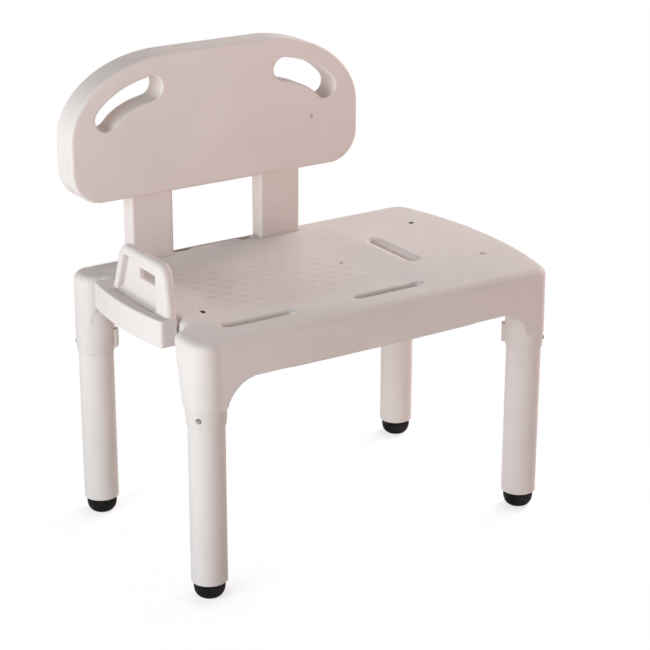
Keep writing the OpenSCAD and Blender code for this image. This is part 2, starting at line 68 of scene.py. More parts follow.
def bench_box(node):
    """Lowest and highest corner of a CAD node about the middle of the legs."""
    low, high = box_mm(node)
    return low - MIDDLE, high - MIDDLE


# Leg tubes
LEG_BOX = bench_box("leg_tube_rear_right")
LEG_X, LEG_Y = (sum(LEG_BOX) / 2)[:2]
LEG_R = (LEG_BOX[1][0] - LEG_BOX[0][0]) / 2
LEG_WALL = 3.2
LEG_EDGE, LEG_BORE_EDGE = 0.8, 0.5
LEG_TOP_GAP = 8
LEG_LOW, LEG_HIGH = LEG_BOX[0][2], LEG_BOX[1][2] - LEG_TOP_GAP
GROOVE_DEPTH, GROOVE_HALF, GROOVE_R = 1.6, 4.85, 1.5
GROOVE_IN = LEG_R - GROOVE_DEPTH
HEIGHT_PITCH, HEIGHT_STEPS = 25.4, 3
HEIGHT_HOLE_EDGE = 0.5

# Sleeves, whose lower ends are the collars
SLEEVE_GAP, SLEEVE_T, SLEEVE_LAP = 0.3, 1, 3
SLEEVE_IN = LEG_R + SLEEVE_GAP
SLEEVE_R = SLEEVE_IN + SLEEVE_T
COLLAR_T, COLLAR_FOOT_T = 2.7, 1.2
COLLAR_R = SLEEVE_IN + COLLAR_T
COLLAR_LOW = bench_box("leg_sleeve_rear_right")[0][2]
COLLAR_CURVE, COLLAR_EDGE = 1.6, 0.7
BOSS_REACH, BOSS_HALF, BOSS_EDGE, BOSS_FILLET = 8, 6.5, 2, 1.5
BOSS_R = LEG_R + BOSS_REACH
BOSS_FOOT, BOSS_RISE = 6, 9

# Feet and plugs
FOOT_BOX = bench_box("foot_rear_right")
FOOT_R = (FOOT_BOX[1][0] - FOOT_BOX[0][0]) / 2
FOOT_H, BELLY_H = 22, 17
TREAD_R, TREAD_SLOPE = 11.5, 0.6
CUP_R, CUP_DEPTH = 4, 0.6
RING_IN, RING_OUT, RING_DEPTH = 7.5, 10.5, 1.2
# Angles at which the round stretches of the belly and the crown start
BELLY_START, CROWN_START = 0.15, 0.65
STEM_R, STEM_EDGE = 8, 1
STEM_TOP = FOOT_BOX[1][2]
NECK_R, NECK_EDGE = 19.5, 0.8
PLUG_TOP = bench_box("leg_plug_rear_right")[1][2]
PLUG_GAP, PLUG_TAPER_H, PLUG_TAPER = 0.1, 2, 1
# Inset and rise above the belly of each point of the foot's lip
LIP = ((0, 1.2), (0.5, 1.7), (0.5, 2.3), (0.1, 2.8))

# Buttons
BUTTON_TURN = math.radians(38)
BUTTON_R, BUTTON_EDGE, BUTTON_PROUD = 3.3, 1.2, 1.2
BUTTON_TIP = COLLAR_R + BUTTON_PROUD
BUTTON_GAP, BUTTON_HOLE_EDGE = 0.35, 0.4
DIMPLE_R, DIMPLE_EDGE, DIMPLE_DEPTH = 1.2, 0.15, 0.25
FLANGE_R, FLANGE_T, FLANGE_GAP = 4.5, 0.95, 0.35

# Seat
SEAT_LOW, SEAT_HIGH = bench_box("seat_shell")
TOWER_LOW, DECK_TOP = SEAT_LOW[2], SEAT_HIGH[2]
CORNER_R = SEAT_HIGH[1] - LEG_Y
END_BOW = SEAT_HIGH[0] - LEG_X - CORNER_R
BOW_X = ((LEG_X + END_BOW) ** 2 - LEG_X ** 2 - LEG_Y ** 2) / (2 * END_BOW)
BOW_CORE_R = LEG_X + END_BOW - BOW_X
BOW_ANGLE = math.atan2(LEG_Y, LEG_X - BOW_X)
END_RECESS = 34
FILLET_R = 22
END_X = SEAT_LOW[0] + END_RECESS
FILLET_X = END_X - FILLET_R
FILLET_TURN = math.acos((CORNER_R + FILLET_R - END_RECESS) / (CORNER_R + FILLET_R))
FILLET_Y = LEG_Y - (CORNER_R + FILLET_R) * math.sin(FILLET_TURN)
FRONT_WIDEN, FRONT_LEAN, REAR_LEAN = 6, 20, 6
SKIRT_INSET = 2.2
DRAFT = 0.008
RIM_R = 12
DECK_T = 4
DECK_LOW = DECK_TOP - DECK_T
APRON_T, APRON_H, APRON_SAG = 3.5, 60, 3
APRON_LOW = DECK_TOP - APRON_H
ARCH_R, ARCH_REACH, ARCH_EDGE = 55, 15, 1.2
ARCH_X = LEG_X - CORNER_R + ARCH_REACH
END_ARCH_R, END_ARCH_REACH, END_ARCH_DROP = 34, 11, 29
END_ARCH_Y = LEG_Y - CORNER_R + END_ARCH_REACH
END_ARCH_TOP = DECK_TOP - END_ARCH_DROP
END_ARCH_LEAN = END_ARCH_REACH / (END_ARCH_TOP - TOWER_LOW)
TOWER_DROP, TOWER_EDGE = 45, 0.8
TOWER_R = CORNER_R - SKIRT_INSET
TOWER_TOP = DECK_TOP - TOWER_DROP
BORE_SPARE, BORE_EDGE = 1, 0.5
BORE_TOP = LEG_HIGH + BORE_SPARE
BUTTON_Z = (TOWER_LOW + COLLAR_LOW) / 2

# Deck: dish, rear channel, nubs, slots, drains and the ribs below
DISH = {"low": (-262, -172), "high": (150, 176), "round": 60, "slope": 85, "depth": 7}
CHANNEL_DEPTH, CHANNEL_EDGE = 9, 1.2
# Middle, half length, half width and corner radius of each part of the channel
CHANNEL = ((-121, 183, 14, 7, 4), (-58, 185.5, 60, 2, 1), (-5, 182, 12, 7, 4))
NUB_PITCH = (30, 22)
NUB_HALF = (8.5, 4.6)
NUB_H, NUB_DOME = 0.9, 1.5
NUB_AREA = {"low": (-215, -100), "high": (105, 120), "round": 40}
SLOT_LEN, SLOT_W, SLOT_DEPTH, SLOT_EDGE = 120, 18, 10, 5.5
FRONT_SLOT_Y = -137
# Middle of each slot, and whether it runs from front to rear
SLOTS = ((-175, FRONT_SLOT_Y, False), (48, FRONT_SLOT_Y, False), (157, 7, True))
DRAIN_R, DRAIN_EDGE = 4.2, 0.8
# Middles of the drain holes that are lined with dark rings and with pale ones
DARK_DRAINS = ((LEG_X - 22, 102), (-228, -70))
PALE_DRAINS = ((LEG_X - 20, -84), (64, 14))
DRAINS = DARK_DRAINS + PALE_DRAINS
BUSH_LIP, BUSH_BITE, BUSH_SINK, BUSH_EDGE = 0.6, 0.4, 0.7, 0.2
BUSH_IN, BUSH_OUT = DRAIN_R - BUSH_LIP, DRAIN_R + BUSH_BITE
RIB_T, RIB_H, RIB_FILLET, RIB_TO_SLOT = 3, 20, 1, 28
RIB_Y = -FRONT_SLOT_Y - SLOT_W / 2 - RIB_TO_SLOT
RIB_XS = (-63.5, 128.25)

# Backrest
PANEL_LOW, PANEL_HIGH = bench_box("backrest_panel")
POSTS = {side: bench_box("backrest_post_" + side) for side in ("left", "right")}
POST_LOW, POST_HIGH = POSTS["left"]
POST_WIDER = 4
SCREW_XS = [(low[0] + high[0]) / 2 for low, high in POSTS.values()]
POST_XS = [x - POST_WIDER / 2 for x in SCREW_XS]
POST_W, POST_T = (POST_HIGH - POST_LOW)[:2] + (POST_WIDER, 0)
POST_Y = (POST_LOW[1] + POST_HIGH[1]) / 2
POST_R, POST_WALL, POST_EDGE = 5, 3, 1
POST_GAP, POST_FIT = 0.4, 0.25
SOCKET_T, SOCKET_EDGE = 3.5, 1.5
POCKET_EDGE, POCKET_SPARE = 1, 1
BACK_X = (PANEL_LOW[0] + PANEL_HIGH[0]) / 2
BACK_HALF = (PANEL_HIGH[0] - PANEL_LOW[0]) / 2
BACK_RX, BACK_RZ, BACK_LOW_R = 165, 115, 46
BACK_GROW = 4
BACK_EDGE = 5
HOLD_INSET, HOLD_W = 25.5, 36
HOLD_FROM, HOLD_TO, HOLD_POINTS = math.radians(26), math.radians(74), 33
HOLD_EDGE_FRONT, HOLD_EDGE_REAR = 3, 12
VENT_X, VENT_Z, VENT_R, VENT_DEPTH = 105, 582, 2.2, 2.5
SCREW_RISES = (40, 106)
SCREW_ZS = [PANEL_LOW[2] + rise for rise in SCREW_RISES]
SCREW_HEAD_R, SCREW_HEAD_H, SCREW_R = 4.5, 3, 2.25
SCREW_HEAD_GAP, SCREW_HEAD_EDGE, SCREW_SINK, SCREW_CROWN = 0.15, 0.4, 0.2, 0.02
SCREW_BORE_EDGE = 0.8
SCREW_TIP = POST_HIGH[1] - 2 * POST_WALL - PANEL_HIGH[1]
CROSS_HALF, CROSS_REACH, CROSS_DEPTH, CROSS_SLOPE = 0.6, 2.6, 1.8, 0.5

# Side arm
ARM_LOW, ARM_HIGH = bench_box("side_arm")
ARM_X = ARM_LOW[0]
ARM_FRONT, ARM_REAR = ARM_LOW[1], ARM_HIGH[1]
ARM_Y = -8
ARM_RISE, ARM_GAP = 3, 0.4
ARM_BASE, ARM_TOP = ARM_LOW[2], DECK_TOP + ARM_RISE
ARM_FRONT_R, ARM_REAR_R, ARM_EDGE, ARM_FILLET = 4, 5, 2.5, 1.5
LEDGE_SHORTER, LEDGE_BOW = 8, 10
LEDGE_FRONT = ARM_FRONT + LEDGE_SHORTER
LOOP_INSET = 13
LOOP_X, LOOP_IN = ARM_X + LOOP_INSET, ARM_HIGH[0]
LOOP_LOW, LOOP_TOP = DECK_TOP + ARM_GAP, ARM_HIGH[2]
LOOP_HEAD, LOOP_R, LOOP_EDGE, LOOP_RIM = 64, 16, 8, 15
LOOP_FOOT_FRONT, LOOP_FOOT_REAR = 76, 93
WEB_T, COVE_R = 7, 10
RECESS_REACH, RECESS_SINK, RECESS_R, RECESS_EDGE = 40, 0.6, 5, 3
RECESS_FRONT, RECESS_LOW = ARM_Y - RECESS_REACH, ARM_TOP - RECESS_SINK
WINDOW_HALF, WINDOW_H, WINDOW_R, WINDOW_EDGE = 25.5, 15, 3, 1.5
WINDOW_FORWARD, WINDOW_LIFT = 2.5, 2
WINDOW_Y, WINDOW_Z = ARM_Y - WINDOW_FORWARD, (LOOP_LOW + LOOP_TOP) / 2 + WINDOW_LIFT
RAIL_NECK, RAIL_HEAD, RAIL_T, RAIL_H = 8, 18, 6, 20
RAIL_SPREAD, RAIL_RUN = 54, 15
RAIL_YS = (ARM_Y - RAIL_SPREAD, ARM_Y + RAIL_SPREAD)
RAIL_LOW, RAIL_HIGH = END_ARCH_TOP, END_ARCH_TOP + RAIL_H

# Meshes: step and rounds of settling, room around a field, and the sharpest turn that is shaded smooth
SLOPE_STEP = 0.02
SETTLE_ROUNDS, LEAST_STEEP = 4, 0.05
TINY = 1e-9
MARGIN_VOXELS, BAND_VOXELS = 2, 3
SIDE_ROOM = 1
SMOOTH_ANGLE = math.radians(32)

# Part of a cloudy pattern's range that sets the unevenness of a finish
CLOUD_LOW, CLOUD_HIGH = 0.3, 0.7

# Camera: turn, tilt and roll in degrees, place in millimetres, focal length in pixels
IMAGE_SIZE = 650
CAMERA_FOCUS = 2011.2
CAMERA_TURN = (33.13, 20.62, 0.14)
CAMERA_PLACE = (-1546.8, -2410.1, 1381.1)

# Floor, in metres: least clear up to a share of open sky within the shadow's reach, then fading to clear
WHITE = (1, 1, 1, 1)
FLOOR_HALF = 2.5
FLOOR_COLOUR, FLOOR_ROUGHNESS = (0.9, 0.89, 0.88, 1), 0.9
FLOOR_GLOW = 0.5
SHADOW_REACH = 0.2
SHADOW_OPEN, LEAST_CLEAR = 0.6, 0.3

# Fill light by direction: 0 comes from straight below, 0.5 from the horizon and 1 from overhead
FILL_STRENGTH = 2
FILL_UNDER, FILL_SIDE, FILL_OVER = (0.3, 0.28, 0.27), (0.82, 0.62, 0.58), (0, 0, 0)
FILL_STOPS = ((0.36, FILL_UNDER), (0.4, FILL_SIDE), (0.5, FILL_SIDE), (0.75, FILL_OVER))


# Fields

def union_round(a, b, r):
    """Union of two fields with a hollow fillet between them."""
    return np.maximum(r, np.minimum(a, b)) - np.hypot(np.maximum(r - a, 0), np.maximum(r - b, 0))


def meet_round(a, b, r):
    """Intersection of two fields with a round edge between them."""
    return np.minimum(-r, np.maximum(a, b)) + np.hypot(np.maximum(r + a, 0), np.maximum(r + b, 0))


def cut_round(a, b, r):
    """First field less the second, with a round edge between them."""
    return meet_round(a, -b, r)


def cut(a, b):
    """First field less the second, with a sharp edge between them."""
    return np.maximum(a, -b)


def nearest(fields):
    """Union of several fields."""
    return reduce(np.minimum, fields)


def slab(v, low, high):
    """Field of the space between two parallel planes."""
    return np.maximum(low - v, v - high)


def round_corner(du, dv, r):
    """Field of a corner of radius r, from the distances past the two lines through its centre."""
    return np.hypot(np.maximum(du, 0), np.maximum(dv, 0)) + np.minimum(np.maximum(du, dv), 0) - r


def rect(u, v, half_u, half_v, r):
    """Field of a rectangle with round corners."""
    return round_corner(np.abs(u) - half_u + r, np.abs(v) - half_v + r, r)


def area(x, y, spec):
    """Field of a round-cornered area of the deck, given by its low and high corner."""
    (x0, y0), (x1, y1) = spec["low"], spec["high"]
    return rect(x - (x0 + x1) / 2, y - (y0 + y1) / 2, (x1 - x0) / 2, (y1 - y0) / 2, spec["round"])


def smooth(t):
    """Soft step from 0 to 1."""
    t = np.clip(t, 0, 1)
    return t * t * (3 - 2 * t)


def flare(depth, r):
    """How far a round edge of radius r opens a hole at a depth below its face."""
    return r - np.sqrt(np.maximum(r * r - np.maximum(r - np.maximum(depth, 0), 0) ** 2, 0))


def seat_outline(x, y, share):
    """Plan of the seat: a bowed right end, and a left end that steps in between its corners.

    The left corners widen towards the middle by a share of their leans, the front one from its foot up.
    """
    ay = np.abs(y)
    deck = np.maximum(np.hypot(x - BOW_X, ay) - BOW_CORE_R, ay - LEG_Y)
    past_corner = (x > LEG_X) & (np.arctan2(ay, x - BOW_X) > BOW_ANGLE)
    deck = np.where(past_corner, np.hypot(x - LEG_X, ay - LEG_Y), deck) - CORNER_R
    deck = np.maximum(deck, END_X - x)
    lean = np.where(y < 0, FRONT_WIDEN + FRONT_LEAN * share, REAR_LEAN * share)
    leaned = ay + np.clip(LEG_Y - ay, 0, lean)
    tower = np.hypot(x + LEG_X, leaned - LEG_Y) - CORNER_R
    fx, fy = x - FILLET_X, leaned - FILLET_Y
    reach = np.hypot(fx, fy)
    beside = fy * math.cos(FILLET_TURN) - fx * math.sin(FILLET_TURN)
    ring = np.maximum(FILLET_R - reach, reach - CORNER_R - FILLET_R)
    fillet = np.maximum(ring, np.maximum(-fy, beside))
    return np.minimum(np.minimum(deck, tower), fillet)


def nubs(x, y):
    """Staggered rows of small oval domes, from 0 to 1."""
    row = np.floor(y / NUB_PITCH[1])
    u = x / NUB_PITCH[0] + 0.5 * np.mod(row, 2)
    du = (u - np.floor(u) - 0.5) * NUB_PITCH[0] / NUB_HALF[0]
    dv = (y / NUB_PITCH[1] - row - 0.5) * NUB_PITCH[1] / NUB_HALF[1]
    return np.maximum(1 - du * du - dv * dv, 0) ** NUB_DOME


def deck_height(x, y):
    """Height of the sitting face: a shallow dish with nubs."""
    dish = smooth(-area(x, y, DISH) / DISH["slope"])
    grip = nubs(x, y) * smooth(-area(x, y, NUB_AREA) / NUB_AREA["round"])
    return DECK_TOP - DISH["depth"] * dish + NUB_H * grip


def slot_plan(x, y):
    """Plan of the three deck slots."""
    plans = []
    for cx, cy, turned in SLOTS:
        along, across = (y - cy, x - cx) if turned else (x - cx, y - cy)
        straight = (SLOT_LEN - SLOT_W) / 2
        plans.append(np.hypot(np.maximum(np.abs(along) - straight, 0), across) - SLOT_W / 2)
    return nearest(plans)


def drain_plan(x, y):
    """Plan of the drain holes."""
    return nearest([np.hypot(x - cx, y - cy) for cx, cy in DRAINS]) - DRAIN_R


def post_plan(x, y, outset):
    """Plan of the two backrest posts, drawn out by an outset."""
    half_w, half_t = POST_W / 2 + outset, POST_T / 2 + outset
    return nearest([rect(x - cx, y - POST_Y, half_w, half_t, POST_R) for cx in POST_XS])


def rails(x, y, z, gap):
    """The two T-shaped rails that hold the side arm, drawn out by a gap."""
    neck_x = slab(x, END_X - RAIL_T - gap, END_X + APRON_T / 2)
    head_x = slab(x, END_X - 2 * RAIL_T - gap, END_X - RAIL_T + gap)
    found = []
    for cy in RAIL_YS:
        neck = np.maximum(neck_x, np.abs(y - cy) - RAIL_NECK / 2 - gap)
        head = np.maximum(head_x, np.abs(y - cy) - RAIL_HEAD / 2 - gap)
        found.append(np.minimum(neck, head))
    return np.maximum(nearest(found), slab(z, RAIL_LOW - gap, RAIL_HIGH))


def end_arch(y, z):
    """Open arch under the ends, its sides leaning inwards."""
    side = END_ARCH_Y - (z - TOWER_LOW) * END_ARCH_LEAN
    return meet_round(np.abs(y) - side, z - END_ARCH_TOP, END_ARCH_R)


def arches(x, y, z):
    """Open arches under the long aprons and under the ends."""
    top = APRON_LOW - APRON_SAG * (np.clip(1 - (x / ARCH_X) ** 2, 0, 1) - 0.5)
    long_arch = meet_round(np.abs(x) - ARCH_X, z - top, ARCH_R)
    return np.minimum(long_arch, end_arch(y, z))


def seat_field(x, y, z):
    """Seat: a hollow tray with arches and towers, its inner works, and the holes in its deck."""
    rise = (z - TOWER_LOW) / (DECK_TOP - RIM_R - TOWER_LOW)
    outline = seat_outline(x, y, np.clip(rise, 0, 1)) + SKIRT_INSET + (z - TOWER_LOW) * DRAFT
    top = deck_height(x, y)
    body = meet_round(outline, z - top, RIM_R)
    body = cut(body, meet_round(outline + APRON_T, z - top + DECK_T, RIM_R - APRON_T))
    body = cut_round(body, arches(x, y, z), ARCH_EDGE)
    axis = np.hypot(np.abs(x) - LEG_X, np.abs(y) - LEG_Y)
    tower = np.maximum(axis - TOWER_R + (z - TOWER_LOW) * DRAFT, z - TOWER_TOP)
    body = np.minimum(body, tower)

    ribs = nearest([np.abs(np.abs(y) - RIB_Y)] + [np.abs(x - cx) for cx in RIB_XS]) - RIB_T / 2
    ribs = np.maximum(ribs, DECK_LOW - RIB_H - z)
    slots = slot_plan(x, y)
    walls = np.maximum(slots - RIB_T, DECK_TOP - SLOT_DEPTH - DISH["depth"] - z)
    channel = nearest([rect(x - cx, y - cy, half_x, half_y, r) for cx, cy, half_x, half_y, r in CHANNEL])
    trough = np.maximum(channel - RIB_T, DECK_TOP - CHANNEL_DEPTH - RIB_T - z)
    inside = meet_round(outline + APRON_T / 2, z - top + DECK_T / 2, RIM_R - APRON_T / 2)
    for works in (ribs, walls, trough):
        body = union_round(body, np.maximum(works, inside), RIB_FILLET)
    socket_z = slab(z, POST_LOW[2] - SOCKET_T, DECK_TOP - RIM_R)
    sockets = np.maximum(post_plan(x, y, POST_GAP + SOCKET_T), socket_z)
    for works in (sockets, rails(x, y, z, 0)):
        body = union_round(body, works, RIB_FILLET)

    depth = top - z
    body = cut(body, slots - flare(depth, SLOT_EDGE))
    body = cut(body, drain_plan(x, y) - flare(depth, DRAIN_EDGE))
    body = cut(body, np.maximum(post_plan(x, y, POST_GAP) - flare(depth, SOCKET_EDGE), POST_LOW[2] - z))
    body = cut(body, np.maximum(channel - flare(depth, CHANNEL_EDGE), depth - CHANNEL_DEPTH))
    body = cut_round(body, np.maximum(axis - SLEEVE_IN, z - BORE_TOP), BORE_EDGE)
    return meet_round(body, TOWER_LOW - z, TOWER_EDGE)


def ellipse(u, v, ru, rv):
    """Field of an ellipse, true near its edge."""
    k0 = np.hypot(u / ru, v / rv)
    k1 = np.maximum(np.hypot(u / ru ** 2, v / rv ** 2), TINY)
    return k0 * (k0 - 1) / k1


def panel_outline(u, z):
    """Front view of the backrest panel about its middle: wide round upper corners, small lower ones."""
    cx, cz = BACK_HALF - BACK_RX, PANEL_HIGH[2] - BACK_RZ
    upper = np.maximum(u - BACK_HALF, z - PANEL_HIGH[2])
    upper = np.where((u > cx) & (z > cz), ellipse(u - cx, z - cz, BACK_RX, BACK_RZ), upper)
    lx, lz = BACK_HALF - BACK_LOW_R, PANEL_LOW[2] + BACK_LOW_R
    lower = np.maximum(u - BACK_HALF, PANEL_LOW[2] - z)
    lower = np.where((u > lx) & (z < lz), np.hypot(u - lx, z - lz) - BACK_LOW_R, lower)
    return np.maximum(upper, lower)


def handhold(u, z):
    """Front view of a handhold: a band with round ends along the upper corner."""
    mid = HOLD_INSET + HOLD_W / 2
    cx, cz = BACK_HALF - BACK_RX, PANEL_HIGH[2] - BACK_RZ
    turns = np.linspace(HOLD_FROM, HOLD_TO, HOLD_POINTS)
    xs, zs = cx + (BACK_RX - mid) * np.cos(turns), cz + (BACK_RZ - mid) * np.sin(turns)
    best = np.inf
    for x0, z0, x1, z1 in zip(xs, zs, xs[1:], zs[1:]):
        dx, dz = x1 - x0, z1 - z0
        t = np.clip(((u - x0) * dx + (z - z0) * dz) / (dx * dx + dz * dz), 0, 1)
        best = np.minimum(best, np.hypot(u - x0 - t * dx, z - z0 - t * dz))
    return best - HOLD_W / 2


def panel_field(x, y, z):
    """Backrest panel with its handholds, the posts' pockets, a vent and the screws' bores."""
    front, rear = PANEL_LOW[1], PANEL_HIGH[1]
    u = np.abs(x - BACK_X)
    body = meet_round(panel_outline(u, z) - BACK_GROW, slab(y, front, rear), BACK_EDGE)
    opened = np.maximum(flare(y - front, HOLD_EDGE_FRONT), flare(rear - y, HOLD_EDGE_REAR))
    body = cut(body, handhold(u, z) - opened)
    mouth = flare(z - PANEL_LOW[2] + BACK_GROW, POCKET_EDGE)
    body = cut(body, np.maximum(post_plan(x, y, POST_FIT) - mouth, z - POST_HIGH[2] - POCKET_SPARE))
    vent = np.hypot(x - VENT_X, z - VENT_Z) - VENT_R
    body = cut(body, np.maximum(vent, y - front - VENT_DEPTH))
    screws = nearest([np.hypot(x - cx, z - cz) for cx in SCREW_XS for cz in SCREW_ZS])
    bores = screws - SCREW_HEAD_R - POST_FIT - flare(rear - y, SCREW_BORE_EDGE)
    return cut(body, np.maximum(bores, rear - SCREW_HEAD_H - y))


def post_field(x, y, z):
    """The two backrest posts, hollow and open at both ends."""
    outer = meet_round(post_plan(x, y, 0), slab(z, POST_LOW[2], POST_HIGH[2]), POST_EDGE)
    return cut(outer, post_plan(x, y, -POST_WALL))


def arm_field(x, y, z):
    """Side arm: a bowed ledge, a loop with a coved recess and a window, and the rails' slots."""
    half = (ARM_REAR - LEDGE_FRONT) / 2
    mid_y = (ARM_REAR + LEDGE_FRONT) / 2
    r = np.where(y < mid_y, ARM_FRONT_R, ARM_REAR_R)
    bow = LEDGE_BOW * np.maximum(1 - ((y - mid_y) / half) ** 2, 0)
    plan = round_corner(ARM_X - bow + r - x, np.abs(y - mid_y) - half + r, r)
    plan = np.maximum(plan, x - END_X + ARM_GAP)
    ledge = meet_round(plan, slab(z, ARM_BASE, ARM_TOP), ARM_EDGE)

    foot = np.where(y < ARM_Y, LOOP_FOOT_FRONT, LOOP_FOOT_REAR)
    lean = np.arctan2(foot - LOOP_HEAD, LOOP_TOP - LOOP_LOW)
    side = (np.abs(y - ARM_Y) - foot + (z - LOOP_LOW) * np.tan(lean)) * np.cos(lean)
    front_view = meet_round(side, z - LOOP_TOP, LOOP_R)
    loop = meet_round(front_view, slab(x, LOOP_X, LOOP_IN), LOOP_EDGE)
    arm = union_round(ledge, np.maximum(loop, LOOP_LOW - z), ARM_FILLET)

    depth = x - LOOP_X
    sides = meet_round(front_view + LOOP_RIM, RECESS_FRONT - y, RECESS_R) - flare(depth, RECESS_EDGE)
    cove = meet_round(RECESS_LOW - z, x - LOOP_IN + WEB_T, COVE_R)
    arm = cut(arm, np.maximum(np.maximum(sides, cove), -RECESS_EDGE - depth))
    window = rect(y - WINDOW_Y, z - WINDOW_Z, WINDOW_HALF, WINDOW_H / 2, WINDOW_R)
    arm = cut(arm, np.maximum(window - flare(LOOP_IN - x, WINDOW_EDGE), LOOP_X - x))
    return cut(arm, np.minimum(rails(x, y, z, ARM_GAP), rails(x, y, z + RAIL_RUN, ARM_GAP)))


def leg_field(x, y, z):
    """Leg tube about its own axis, with the key groove and the height holes along +X."""
    axis = np.hypot(x, y)
    tube = meet_round(axis - LEG_R, slab(z, LEG_LOW, LEG_HIGH), LEG_EDGE)
    tube = cut_round(tube, axis - LEG_R + LEG_WALL, LEG_BORE_EDGE)
    length = z - np.clip(z, BUTTON_Z, BUTTON_Z + HEIGHT_PITCH * HEIGHT_STEPS)
    groove = np.maximum(rect(y, length, GROOVE_HALF, GROOVE_HALF, GROOVE_R), GROOVE_IN - x)
    steps = np.clip(np.round((z - BUTTON_Z) / HEIGHT_PITCH), 0, HEIGHT_STEPS)
    hole = np.maximum(np.hypot(y, z - BUTTON_Z - steps * HEIGHT_PITCH) - GROOVE_HALF, -x)
    return cut_round(cut(tube, groove), hole, HEIGHT_HOLE_EDGE)


def sleeve_field(x, y, z):
    """Sleeve with its tapered collar, a small boss and the button's hole along +X."""
    axis = np.hypot(x, y)
    taper = (TOWER_LOW - z) / (TOWER_LOW - COLLAR_LOW)
    cone = axis - COLLAR_R + (COLLAR_T - COLLAR_FOOT_T) * np.clip(taper, 0, 1) ** COLLAR_CURVE
    collar = meet_round(cone, slab(z, COLLAR_LOW, TOWER_LOW + SLEEVE_LAP), COLLAR_EDGE)
    upper = np.maximum(axis - SLEEVE_R, slab(z, TOWER_LOW, TOWER_TOP))
    boss_z = slab(z, COLLAR_LOW + BOSS_FOOT, TOWER_LOW + BOSS_RISE)
    boss = meet_round(np.abs(y) - BOSS_HALF, boss_z, BOSS_EDGE)
    boss = meet_round(boss, slab(x, -BOSS_R, -SLEEVE_R), BOSS_EDGE)
    body = np.minimum(union_round(collar, boss, BOSS_FILLET), upper)
    body = cut(body, axis - SLEEVE_IN)
    hole = np.maximum(np.hypot(y, z - BUTTON_Z) - BUTTON_R - BUTTON_GAP, -x)
    return cut_round(body, hole, BUTTON_HOLE_EDGE)


def screw_field(x, y, z):
    """Screw along +Y with a low domed head and a cross recess, its head's face at the origin."""
    axis = np.hypot(x, z)
    dome = slab(y, -SCREW_HEAD_H, -SCREW_SINK - SCREW_CROWN * axis ** 2)
    head = meet_round(axis - SCREW_HEAD_R + SCREW_HEAD_GAP, dome, SCREW_HEAD_EDGE)
    shank = np.maximum(axis - SCREW_R, slab(y, SCREW_TIP, -SCREW_HEAD_H / 2))
    upright = np.maximum(np.abs(x) - CROSS_HALF, np.abs(z) - CROSS_REACH)
    level = np.maximum(np.abs(z) - CROSS_HALF, np.abs(x) - CROSS_REACH)
    cross = np.maximum(np.minimum(upright, level), -CROSS_DEPTH - y - CROSS_SLOPE * axis)
    return cut(np.minimum(head, shank), cross)


# Meshes

def gradient(field, points):
    """Slope of a field at a list of points."""
    slopes = np.empty_like(points)
    for axis in range(3):
        shift = np.zeros(3)
        shift[axis] = SLOPE_STEP
        slopes[:, axis] = (field(*(points + shift).T) - field(*(points - shift).T)) / (2 * SLOPE_STEP)
    return slopes


def settle(field, points, reach):
    """Moves points onto the zero level of a field, and gives its normals there."""
    for _ in range(SETTLE_ROUNDS):
        slopes = gradient(field, points)
        steepness = np.maximum((slopes ** 2).sum(1), LEAST_STEEP)
        move = slopes * (field(*points.T) / steepness)[:, None]
        length = np.maximum(np.linalg.norm(move, axis=1), TINY)
        points = points - move * np.minimum(1, reach / length)[:, None]
    slopes = gradient(field, points)
    return points, slopes / np.maximum(np.linalg.norm(slopes, axis=1), TINY)[:, None]


def field_mesh(name, field, low, high, voxel, adaptivity=0.02, origin=(0, 0, 0)):
    """Closed smooth mesh of a field inside a box, in metres about an origin given in millimetres."""
    margin, band = MARGIN_VOXELS * voxel, BAND_VOXELS * voxel
    axes = [np.arange(a - margin, b + margin + voxel, voxel, dtype=np.float32) for a, b in zip(low, high)]
    values = np.clip(field(*np.meshgrid(*axes, indexing="ij", sparse=True)), -band, band)
    grid = openvdb.FloatGrid(band)
    grid.copyFromArray(np.ascontiguousarray(values, np.float32))
    points, tris, quads = grid.convertToPolygons(isovalue=0.0, adaptivity=adaptivity)
    points = points.astype(float) * voxel + [float(a[0]) for a in axes]
    points, normals = settle(field, points, voxel / 2)
    mesh = bpy.data.meshes.new(name)
    mesh.from_pydata((points + origin) * MM, [], tris.tolist() + quads.tolist())
    mesh.shade_smooth()
    mesh.normals_split_custom_set_from_vertices(normals.tolist())
    return mesh


def lathe_mesh(name, profile, segments, along_x=False):
    """Closed mesh of a profile of radius and height in millimetres, turned about Z or X."""
    bm = bmesh.new()
    rings = []
    for r, h in profile:
        count = segments if r > 0 else 1
        turns = [2 * math.pi * i / segments for i in range(count)]
        ring = [(r * math.cos(t), r * math.sin(t), h) for t in turns]
        rings.append([bm.verts.new(Vector((h, x, y) if along_x else (x, y, h)) * MM) for x, y, h in ring])
    for a, b in zip(rings, rings[1:]):
        for i in range(segments):
            j = (i + 1) % segments
            corners = [a[i % len(a)], a[j % len(a)], b[j % len(b)], b[i % len(b)]]
            unique = list(dict.fromkeys(corners))
            if len(unique) > 2:
                bm.faces.new(unique)
    bmesh.ops.recalc_face_normals(bm, faces=bm.faces)
    for edge in bm.edges:
        edge.smooth = edge.calc_face_angle(0) < SMOOTH_ANGLE
    mesh = bpy.data.meshes.new(name)
    bm.to_mesh(mesh)
    bm.free()
    for polygon in mesh.polygons:
        polygon.use_smooth = True
    return mesh


def quarter_turn(start, steps):
    """Angles from a start up to a right angle."""
    return np.linspace(start, math.pi / 2, steps)


# Materials

def new_material(name):
    """Material with its node tree and its main shader."""
    material = bpy.data.materials.new(name)
    material.use_nodes = True
    return material, material.node_tree, material.node_tree.nodes["Principled BSDF"]


def object_coords(tree):
    """Coordinates that stay with the object."""
    return tree.nodes.new("ShaderNodeTexCoord").outputs["Object"]


